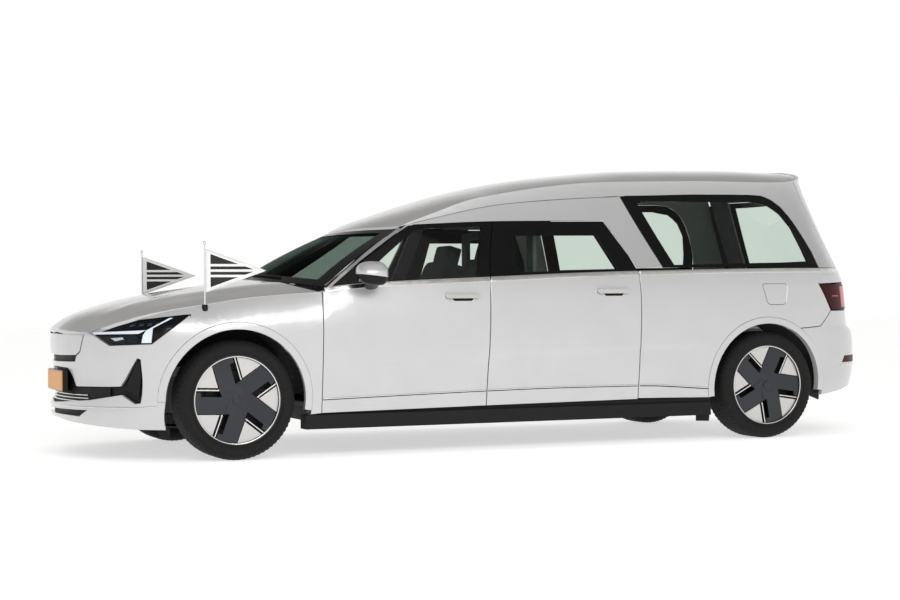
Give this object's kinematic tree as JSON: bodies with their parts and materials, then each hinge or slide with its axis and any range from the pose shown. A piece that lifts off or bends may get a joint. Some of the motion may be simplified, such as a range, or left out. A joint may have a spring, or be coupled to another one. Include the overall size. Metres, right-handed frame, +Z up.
{
  "type": "estate-bodied hearse",
  "caption": "Long electric hearse with a raised rear body, side-hinged doors, lifting hood and tailgate, steered front wheels and a coffin deck.",
  "frame": {"origin": "on the ground, under the middle of the car's overall length and width", "axes": "-X to the nose, +X to the tail, -Y to the car's left side, +Z up"},
  "size_m": [5.4977, 2.1658, 1.829],
  "materials": {
    "silver_paint": "silver metallic paint under clear coat",
    "black_plastic": "grained black plastic",
    "gloss_black": "gloss black trim",
    "bright_metal": "bright trim strip",
    "window_glass": "tinted window glass",
    "lamp_glass": "clear lamp cover over a dark housing",
    "tail_lamp": "red lamp cover",
    "tyre": "black tyre rubber",
    "rim": "anthracite blades with machined silver faces",
    "chassis_metal": "dark coated castings",
    "underbody": "black underbody panels",
    "pennant_cloth": "woven polyester with black stripes",
    "upholstery": "dark woven seat covers",
    "trim_panel": "light grey lining",
    "deck_floor": "varnished deck boards",
    "number_plate": "blank yellow number plate"
  },
  "bodies": {
    "body": {"floor_pan": "underbody", "battery_pack": "underbody", "front_axle": "chassis_metal", "rear_axle": "chassis_metal", "front_bumper": "silver_paint", "grille_panel": "silver_paint", "front_bay": "black_plastic", "left_fender": "silver_paint", "right_fender": "silver_paint", "headlights": "lamp_glass", "windshield": "window_glass", "cowl": "black_plastic", "cabin_frame": "silver_paint", "roof": "silver_paint", "left_quarter": "silver_paint", "right_quarter": "silver_paint", "side_glass": "window_glass", "tail_lamps": "tail_lamp", "rear_bumper": "silver_paint", "sills": "black_plastic", "wheel_liners": "black_plastic", "flag_poles": "bright_metal", "pennants": "pennant_cloth", "front_seats": "upholstery", "dashboard": "black_plastic", "partition": "trim_panel", "coffin_deck": "deck_floor"},
    "front_left_wheel": {"front_left_tyre": "tyre", "front_left_rim": "rim"},
    "front_right_wheel": {"front_right_tyre": "tyre", "front_right_rim": "rim"},
    "rear_left_wheel": {"rear_left_tyre": "tyre", "rear_left_rim": "rim"},
    "rear_right_wheel": {"rear_right_tyre": "tyre", "rear_right_rim": "rim"},
    "left_steering": {"left_knuckle": "chassis_metal"},
    "right_steering": {"right_knuckle": "chassis_metal"},
    "front_left_door": {"front_left_door": "silver_paint", "front_left_glass": "window_glass", "left_mirror": "black_plastic"},
    "front_right_door": {"front_right_door": "silver_paint", "front_right_glass": "window_glass", "right_mirror": "black_plastic"},
    "rear_left_door": {"rear_left_door": "silver_paint", "rear_left_glass": "window_glass"},
    "rear_right_door": {"rear_right_door": "silver_paint", "rear_right_glass": "window_glass"},
    "hood": {"hood": "silver_paint"},
    "tailgate": {"tailgate": "silver_paint", "tailgate_glass": "window_glass"},
    "charge_flap": {"charge_flap": "silver_paint"}
  },
  "joints": [
    {"name": "left_steer", "type": "hinge", "parent": "body", "child": "left_steering", "pos_m": [-1.835, -0.737, 0.352], "axis": [0, 0, 1], "range_deg": [-35, 35]},
    {"name": "right_steer", "type": "hinge", "parent": "body", "child": "right_steering", "pos_m": [-1.835, 0.737, 0.352], "axis": [0, 0, 1], "range_deg": [-35, 35]},
    {"name": "front_left_roll", "type": "hinge", "parent": "left_steering", "child": "front_left_wheel", "pos_m": [-1.835, -0.799, 0.352], "axis": [0, 1, 0], "continuous": true},
    {"name": "rear_left_roll", "type": "hinge", "parent": "body", "child": "rear_left_wheel", "pos_m": [1.775, -0.799, 0.352], "axis": [0, 1, 0], "continuous": true},
    {"name": "front_right_roll", "type": "hinge", "parent": "right_steering", "child": "front_right_wheel", "pos_m": [-1.835, 0.799, 0.352], "axis": [0, 1, 0], "continuous": true},
    {"name": "rear_right_roll", "type": "hinge", "parent": "body", "child": "rear_right_wheel", "pos_m": [1.775, 0.799, 0.352], "axis": [0, 1, 0], "continuous": true},
    {"name": "front_left_door_swing", "type": "hinge", "parent": "body", "child": "front_left_door", "pos_m": [-1.321, -0.9315, 0.62], "axis": [0, 0, -1], "range_deg": [0, 66]},
    {"name": "rear_left_door_swing", "type": "hinge", "parent": "body", "child": "rear_left_door", "pos_m": [-0.248, -0.9315, 0.62], "axis": [0, 0, -1], "range_deg": [0, 66]},
    {"name": "front_right_door_swing", "type": "hinge", "parent": "body", "child": "front_right_door", "pos_m": [-1.321, 0.9315, 0.62], "axis": [0, 0, 1], "range_deg": [0, 66]},
    {"name": "rear_right_door_swing", "type": "hinge", "parent": "body", "child": "rear_right_door", "pos_m": [-0.248, 0.9315, 0.62], "axis": [0, 0, 1], "range_deg": [0, 66]},
    {"name": "hood_lift", "type": "hinge", "parent": "body", "child": "hood", "pos_m": [-1.315, 0, 0.975], "axis": [0, 1, 0], "range_deg": [0, 48]},
    {"name": "tailgate_lift", "type": "hinge", "parent": "body", "child": "tailgate", "pos_m": [2.204, 0, 1.829], "axis": [0, -1, 0], "range_deg": [0, 78]},
    {"name": "charge_flap_swing", "type": "hinge", "parent": "body", "child": "charge_flap", "pos_m": [1.741, -0.9305, 0.95], "axis": [0, 0, -1], "range_deg": [0, 80]}
  ],
  "couplings": [
    {"joint": "right_steer", "follows": "left_steer", "ratio": 1}
  ]
}
